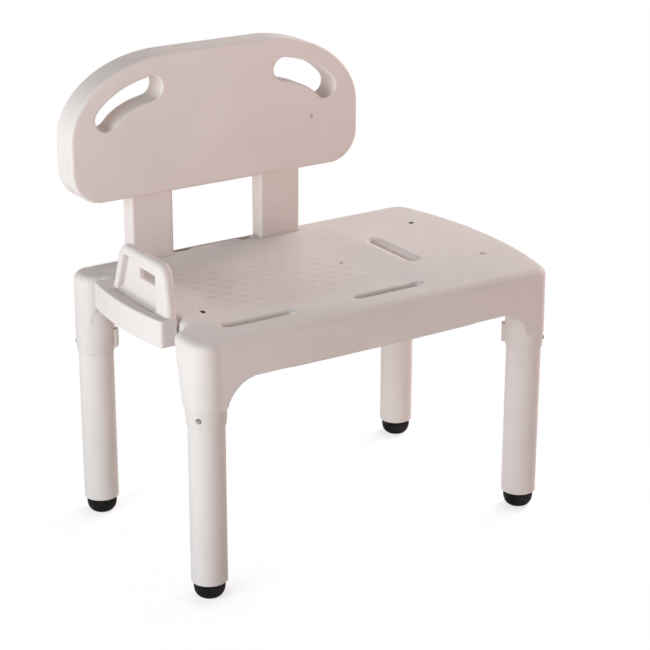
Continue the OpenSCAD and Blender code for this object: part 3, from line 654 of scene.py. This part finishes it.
def noise(tree, coords, scale, detail, roughness=0.5):
    """Cloudy pattern from 0 to 1; the scale is in features per metre."""
    node = tree.nodes.new("ShaderNodeTexNoise")
    node.inputs["Scale"].default_value = scale
    node.inputs["Detail"].default_value = detail
    node.inputs["Roughness"].default_value = roughness
    tree.links.new(coords, node.inputs["Vector"])
    return node.outputs["Fac"]


def ramp(tree, value, *stops):
    """Colour that runs through the stops, each a place from 0 to 1 and its colour."""
    node = tree.nodes.new("ShaderNodeValToRGB")
    while len(node.color_ramp.elements) < len(stops):
        node.color_ramp.elements.new(0.5)
    for element, (place, colour) in zip(node.color_ramp.elements, stops):
        element.position = place
        element.color = (*colour, 1)
    tree.links.new(value, node.inputs["Fac"])
    return node.outputs["Color"]


def spread(tree, value, low, high):
    """Number from low to high over the middle part of a cloudy pattern."""
    node = tree.nodes.new("ShaderNodeMapRange")
    node.inputs["From Min"].default_value = CLOUD_LOW
    node.inputs["From Max"].default_value = CLOUD_HIGH
    node.inputs["To Min"].default_value = low
    node.inputs["To Max"].default_value = high
    tree.links.new(value, node.inputs["Value"])
    return node.outputs["Result"]


def bump(tree, shader, height, strength, distance):
    """Relief on a shader, its depth in metres."""
    node = tree.nodes.new("ShaderNodeBump")
    node.inputs["Strength"].default_value = strength
    node.inputs["Distance"].default_value = distance
    tree.links.new(height, node.inputs["Height"])
    tree.links.new(node.outputs["Normal"], shader.inputs["Normal"])


def combine(tree, operation, first, second):
    """Math node on two sockets."""
    node = tree.nodes.new("ShaderNodeMath")
    node.operation = operation
    tree.links.new(first, node.inputs[0])
    tree.links.new(second, node.inputs[1])
    return node.outputs[0]


def mix_shaders(tree, factor, first, second, output):
    """Sends a mix of two shader nodes to a tree's output node."""
    mix = tree.nodes.new("ShaderNodeMixShader")
    tree.links.new(factor, mix.inputs["Fac"])
    tree.links.new(first.outputs[0], mix.inputs[1])
    tree.links.new(second.outputs[0], mix.inputs[2])
    tree.links.new(mix.outputs[0], tree.nodes[output].inputs["Surface"])


def plastic(name, pale, warm, roughness, grain):
    """Satin moulded plastic: faint cloudy colour, a fine moulded grain and uneven gloss."""
    material, tree, shader = new_material(name)
    shader.inputs["Specular IOR Level"].default_value = 0.35
    shader.inputs["Coat Weight"].default_value = 0.06
    shader.inputs["Coat Roughness"].default_value = 0.25
    coords = object_coords(tree)
    cloud = noise(tree, coords, scale=7, detail=5, roughness=0.6)
    tree.links.new(ramp(tree, cloud, (0.32, warm), (0.68, pale)), shader.inputs["Base Color"])
    gloss = noise(tree, coords, scale=45, detail=4)
    uneven = spread(tree, gloss, low=roughness - 0.05, high=roughness + 0.07)
    tree.links.new(uneven, shader.inputs["Roughness"])
    bump(tree, shader, noise(tree, coords, scale=grain, detail=2), strength=0.25, distance=0.00012)
    return material


def rubber(name, black, dusty):
    """Black rubber with a dusty bloom and a fine tooth."""
    material, tree, shader = new_material(name)
    shader.inputs["Specular IOR Level"].default_value = 0.15
    coords = object_coords(tree)
    dust = noise(tree, coords, scale=60, detail=6, roughness=0.65)
    tree.links.new(ramp(tree, dust, (0.45, black), (0.8, dusty)), shader.inputs["Base Color"])
    patches = noise(tree, coords, scale=120, detail=3)
    tree.links.new(spread(tree, patches, low=0.42, high=0.62), shader.inputs["Roughness"])
    bump(tree, shader, noise(tree, coords, scale=900, detail=3), strength=0.4, distance=0.0002)
    return material


def steel(name, dark, bright):
    """Stainless steel with a fine uneven grain."""
    material, tree, shader = new_material(name)
    shader.inputs["Metallic"].default_value = 1
    grain = noise(tree, object_coords(tree), scale=400, detail=4)
    tree.links.new(ramp(tree, grain, (0.3, dark), (0.7, bright)), shader.inputs["Base Color"])
    tree.links.new(spread(tree, grain, low=0.22, high=0.38), shader.inputs["Roughness"])
    bump(tree, shader, grain, strength=0.2, distance=0.0001)
    return material


PALE, WARM = (0.74, 0.68, 0.65), (0.70, 0.64, 0.605)
FITTING_PALE, FITTING_WARM = (0.72, 0.665, 0.63), (0.68, 0.62, 0.58)
BUTTON_PALE, BUTTON_WARM = (0.36, 0.34, 0.33), (0.30, 0.285, 0.275)
RUBBER_BLACK, RUBBER_DUSTY = (0.008, 0.008, 0.008), (0.03, 0.028, 0.026)
STEEL_DARK, STEEL_BRIGHT = (0.55, 0.55, 0.57), (0.72, 0.72, 0.74)
LOOKS = {
    "seat": plastic("seat_plastic", PALE, WARM, roughness=0.48, grain=1500),
    "backrest": plastic("backrest_plastic", PALE, WARM, roughness=0.45, grain=1300),
    "arm": plastic("arm_plastic", PALE, WARM, roughness=0.46, grain=1500),
    "leg": plastic("leg_plastic", PALE, WARM, roughness=0.42, grain=1800),
    "fitting": plastic("fitting_plastic", FITTING_PALE, FITTING_WARM, roughness=0.4, grain=1800),
    "button": plastic("button_plastic", BUTTON_PALE, BUTTON_WARM, roughness=0.4, grain=2500),
    "rubber": rubber("black_rubber", RUBBER_BLACK, RUBBER_DUSTY),
    "steel": steel("stainless_steel", STEEL_DARK, STEEL_BRIGHT),
}


# Pieces

def add_piece(name, mesh, body, slot, nodes=(), matrix=Matrix()):
    """Object for a mesh that rides on a body, stands for CAD nodes and has its slot's finish."""
    mesh = mesh.copy()
    mesh.transform(matrix)
    mesh.materials.append(LOOKS[slot])
    piece = bpy.data.objects.new(name, mesh)
    bpy.context.scene.collection.objects.link(piece)
    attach(piece, body)
    if nodes:
        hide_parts(*nodes)


def bench_matrix(x, y, z):
    """Place of a point given in millimetres about the middle of the legs."""
    return Matrix.Translation((Vector((x, y, z)) + Vector(MIDDLE)) * MM)


def corner_matrix(corner):
    """Place of a leg's axis, turned so that +X points along its button."""
    sx, sy = CORNERS[corner]
    turn = math.atan2(sy * math.sin(BUTTON_TURN), sx * math.cos(BUTTON_TURN))
    return bench_matrix(sx * LEG_X, sy * LEG_Y, 0) @ Matrix.Rotation(turn, 4, "Z")


def bush_profile():
    """Half section of the ring that lines a drain hole, its upper edge at zero."""
    low = BUSH_SINK - DECK_T
    return [(BUSH_IN, low), (BUSH_OUT, low), (BUSH_OUT, 0), (BUSH_IN + BUSH_EDGE, 0), (BUSH_IN, -BUSH_EDGE),
            (BUSH_IN, low)]


def make_seat():
    """The seat and the rings in its drain holes."""
    mesh = field_mesh("seat", seat_field, SEAT_LOW, SEAT_HIGH, voxel=1.8, adaptivity=0.15, origin=MIDDLE)
    add_piece("seat", mesh, "seat", "seat", ["seat_shell"])
    bush = lathe_mesh("drain_bush", bush_profile(), segments=40)
    for i, (x, y) in enumerate(DRAINS):
        slot = "rubber" if (x, y) in DARK_DRAINS else "fitting"
        place = bench_matrix(x, y, deck_height(x, y) - BUSH_SINK)
        add_piece(f"drain_bush_{i + 1}", bush, "seat", slot, matrix=place)


def make_backrest():
    """The panel, its two posts and the four screws behind."""
    low, high = PANEL_LOW - BACK_GROW, PANEL_HIGH + BACK_GROW
    mesh = field_mesh("backrest_shell", panel_field, low, high, voxel=2, origin=MIDDLE)
    add_piece("backrest_shell", mesh, "backrest", "backrest", ["backrest_panel"])
    for side, (low, high) in POSTS.items():
        low = low - (POST_WIDER, 0, 0)
        mesh = field_mesh("post_" + side, post_field, low, high, voxel=2, origin=MIDDLE)
        add_piece("post_" + side, mesh, "backrest", "backrest", ["backrest_post_" + side])
    low = (-SCREW_HEAD_R, SCREW_TIP, -SCREW_HEAD_R)
    high = (SCREW_HEAD_R, 0, SCREW_HEAD_R)
    mesh = field_mesh("screw", screw_field, low, high, voxel=0.3)
    for i, (x, z) in enumerate((x, z) for x in SCREW_XS for z in SCREW_ZS):
        place = bench_matrix(x, PANEL_HIGH[1], z)
        add_piece(f"screw_{i + 1}", mesh, "backrest", "steel", ["post_screws"], place)


def make_arm():
    """The side arm."""
    mesh = field_mesh("arm", arm_field, ARM_LOW - (LEDGE_BOW, 0, 0), ARM_HIGH, voxel=1.4, origin=MIDDLE)
    add_piece("arm", mesh, "side_arm", "arm", ["side_arm"])


def foot_profile():
    """Half section of a foot: tread rings below, a belly, a lip, a crown and the stem."""
    profile = [(0, CUP_DEPTH), (CUP_R, CUP_DEPTH), (CUP_R + TREAD_SLOPE, 0)]
    profile += [(RING_IN, 0), (RING_IN + TREAD_SLOPE, RING_DEPTH), (RING_OUT - TREAD_SLOPE, RING_DEPTH)]
    profile += [(RING_OUT, 0), (TREAD_R, 0)]
    bulge = FOOT_R - TREAD_R
    for t in quarter_turn(BELLY_START, steps=10):
        profile.append((TREAD_R + bulge * math.sin(t), BELLY_H * (1 - math.cos(t))))
    profile += [(FOOT_R - inset, BELLY_H + rise) for inset, rise in LIP]
    crown = FOOT_H - BELLY_H
    for t in quarter_turn(CROWN_START, steps=8):
        profile.append((FOOT_R - crown / 2 * (1 - math.cos(t)), BELLY_H + crown * math.sin(t)))
    stem = [(STEM_R, FOOT_H), (STEM_R, STEM_TOP - STEM_EDGE), (STEM_R - STEM_EDGE, STEM_TOP), (0, STEM_TOP)]
    return profile + stem


def plug_profile():
    """Half section of a leg plug: a neck that shows, and the part inside the tube."""
    outer, bore = LEG_R - LEG_WALL - PLUG_GAP, STEM_R + PLUG_GAP
    neck = [(bore, FOOT_H), (NECK_R - NECK_EDGE, FOOT_H), (NECK_R, FOOT_H + NECK_EDGE), (NECK_R, LEG_LOW)]
    hidden = [(outer, LEG_LOW), (outer, PLUG_TOP - PLUG_TAPER_H), (outer - PLUG_TAPER, PLUG_TOP)]
    return neck + hidden + [(bore, PLUG_TOP), (bore, FOOT_H)]


def button_profile():
    """Half section of a lock button along its own axis: flange, stem and a dished cap."""
    base = GROOVE_IN + FLANGE_GAP
    profile = [(0, base), (FLANGE_R, base), (FLANGE_R, base + FLANGE_T), (BUTTON_R, base + FLANGE_T)]
    for t in quarter_turn(0, steps=7):
        r = BUTTON_R - BUTTON_EDGE * (1 - math.cos(t))
        profile.append((r, BUTTON_TIP - BUTTON_EDGE * (1 - math.sin(t))))
    return profile + [(DIMPLE_R, BUTTON_TIP - DIMPLE_EDGE), (0, BUTTON_TIP - DIMPLE_DEPTH)]


def make_legs():
    """Each corner's tube, plug, foot, sleeve and button."""
    r = LEG_R + SIDE_ROOM
    leg = field_mesh("leg_tube", leg_field, (-r, -r, LEG_LOW), (r, r, LEG_HIGH), voxel=1.6)
    r = BOSS_R + SIDE_ROOM
    sleeve = field_mesh("leg_sleeve", sleeve_field, (-r, -r, COLLAR_LOW), (r, r, TOWER_TOP), voxel=1.2)
    plug = lathe_mesh("leg_plug", plug_profile(), segments=72)
    foot = lathe_mesh("foot", foot_profile(), segments=96)
    button = lathe_mesh("button", button_profile(), segments=32, along_x=True)
    button.transform(Matrix.Translation((0, 0, BUTTON_Z * MM)))
    for corner in CORNERS:
        place = corner_matrix(corner)
        body, button_body = "leg_" + corner, "button_" + corner
        add_piece("tube_" + corner, leg, body, "leg", ["leg_tube_" + corner], place)
        add_piece("plug_" + corner, plug, body, "fitting", ["leg_plug_" + corner], place)
        add_piece("rubber_foot_" + corner, foot, body, "rubber", ["foot_" + corner], place)
        add_piece("sleeve_" + corner, sleeve, "seat", "fitting", ["leg_sleeve_" + corner], place)
        add_piece("button_cap_" + corner, button, button_body, "button", ["lock_button_" + corner], place)


# Stage

def make_floor():
    """White floor that keeps the shadow near the feet and is clear elsewhere, so that lowered legs show."""
    mesh = bpy.data.meshes.new("floor")
    corners = [(sx * FLOOR_HALF, sy * FLOOR_HALF, 0) for sx, sy in ((-1, -1), (1, -1), (1, 1), (-1, 1))]
    mesh.from_pydata(corners, [], [(0, 1, 2, 3)])
    floor = bpy.data.objects.new("floor", mesh)
    bpy.context.scene.collection.objects.link(floor)
    material, tree, shader = new_material("white_floor")
    shader.inputs["Base Color"].default_value = FLOOR_COLOUR
    shader.inputs["Roughness"].default_value = FLOOR_ROUGHNESS
    shader.inputs["Emission Color"].default_value = WHITE
    camera_ray = tree.nodes.new("ShaderNodeLightPath").outputs["Is Camera Ray"]
    glow = tree.nodes.new("ShaderNodeMath")
    glow.operation = "MULTIPLY"
    glow.inputs[1].default_value = FLOOR_GLOW
    tree.links.new(camera_ray, glow.inputs[0])
    tree.links.new(glow.outputs[0], shader.inputs["Emission Strength"])
    near = tree.nodes.new("ShaderNodeAmbientOcclusion")
    near.inputs["Distance"].default_value = SHADOW_REACH
    fade = tree.nodes.new("ShaderNodeMapRange")
    fade.interpolation_type = "SMOOTHSTEP"
    fade.inputs["From Min"].default_value = SHADOW_OPEN
    fade.inputs["To Min"].default_value = LEAST_CLEAR
    tree.links.new(near.outputs["AO"], fade.inputs["Value"])
    seen = combine(tree, "MULTIPLY", fade.outputs["Result"], camera_ray)
    from_below = tree.nodes.new("ShaderNodeNewGeometry").outputs["Backfacing"]
    clear = tree.nodes.new("ShaderNodeBsdfTransparent")
    mix_shaders(tree, combine(tree, "MAXIMUM", seen, from_below), shader, clear, "Material Output")
    mesh.materials.append(material)


def make_world():
    """White for the camera and in reflections; otherwise a soft fill, strongest near the horizon."""
    world = bpy.data.worlds.new("studio")
    bpy.context.scene.world = world
    world.use_nodes = True
    tree = world.node_tree
    fill = tree.nodes["Background"]
    split = tree.nodes.new("ShaderNodeSeparateXYZ")
    tree.links.new(tree.nodes.new("ShaderNodeTexCoord").outputs["Generated"], split.inputs[0])
    height = tree.nodes.new("ShaderNodeMapRange")
    height.inputs["From Min"].default_value = -1
    tree.links.new(split.outputs["Z"], height.inputs["Value"])
    tree.links.new(ramp(tree, height.outputs["Result"], *FILL_STOPS), fill.inputs["Color"])
    fill.inputs["Strength"].default_value = FILL_STRENGTH
    white = tree.nodes.new("ShaderNodeBackground")
    white.inputs["Color"].default_value = WHITE
    path = tree.nodes.new("ShaderNodeLightPath")
    seen = path.outputs["Is Camera Ray"]
    for ray in ("Is Glossy Ray", "Is Transmission Ray"):
        seen = combine(tree, "MAXIMUM", seen, path.outputs[ray])
    mix_shaders(tree, seen, fill, white, "World Output")


def add_light(name, place, target, size, power, colour):
    """Square soft box that faces a point, hidden from reflections."""
    light = bpy.data.lights.new(name, "AREA")
    light.size = size
    light.energy = power
    light.color = colour
    lamp = bpy.data.objects.new(name, light)
    lamp.location = place
    lamp.rotation_euler = (Vector(target) - Vector(place)).to_track_quat("-Z", "Y").to_euler()
    lamp.visible_glossy = False
    bpy.context.scene.collection.objects.link(lamp)


def make_lights():
    """A cool key from the left and a warmer light from the upper right."""
    seat_middle = (0, 0, 0.4)
    cool, warm = (0.75, 0.93, 1.0), (1.0, 0.93, 0.92)
    add_light("key", place=(-2.3, -0.5, 0.85), target=seat_middle, size=1.4, power=40, colour=cool)
    add_light("right", place=(2.0, 0.4, 1.9), target=seat_middle, size=1.4, power=56, colour=warm)


def make_camera():
    """Camera at the photograph's viewing angle."""
    yaw, pitch, roll = (math.radians(a) for a in CAMERA_TURN)
    look = Vector((math.sin(yaw) * math.cos(pitch), math.cos(yaw) * math.cos(pitch), -math.sin(pitch)))
    level = Vector((math.cos(yaw), -math.sin(yaw), 0))
    rise = level.cross(look)
    right = math.cos(roll) * level + math.sin(roll) * rise
    up = math.cos(roll) * rise - math.sin(roll) * level
    camera = bpy.data.cameras.new("camera")
    camera.lens = CAMERA_FOCUS / IMAGE_SIZE * camera.sensor_width
    eye = bpy.data.objects.new("camera", camera)
    bpy.context.scene.collection.objects.link(eye)
    eye.matrix_world = Matrix((right, up, -look)).transposed().to_4x4()
    eye.location = (Vector(CAMERA_PLACE) + Vector(MIDDLE)) * MM
    bpy.context.scene.camera = eye


make_camera()
make_seat()
make_backrest()
make_arm()
make_legs()
make_floor()
make_world()
make_lights()
bpy.context.scene.view_settings.view_transform = "Standard"
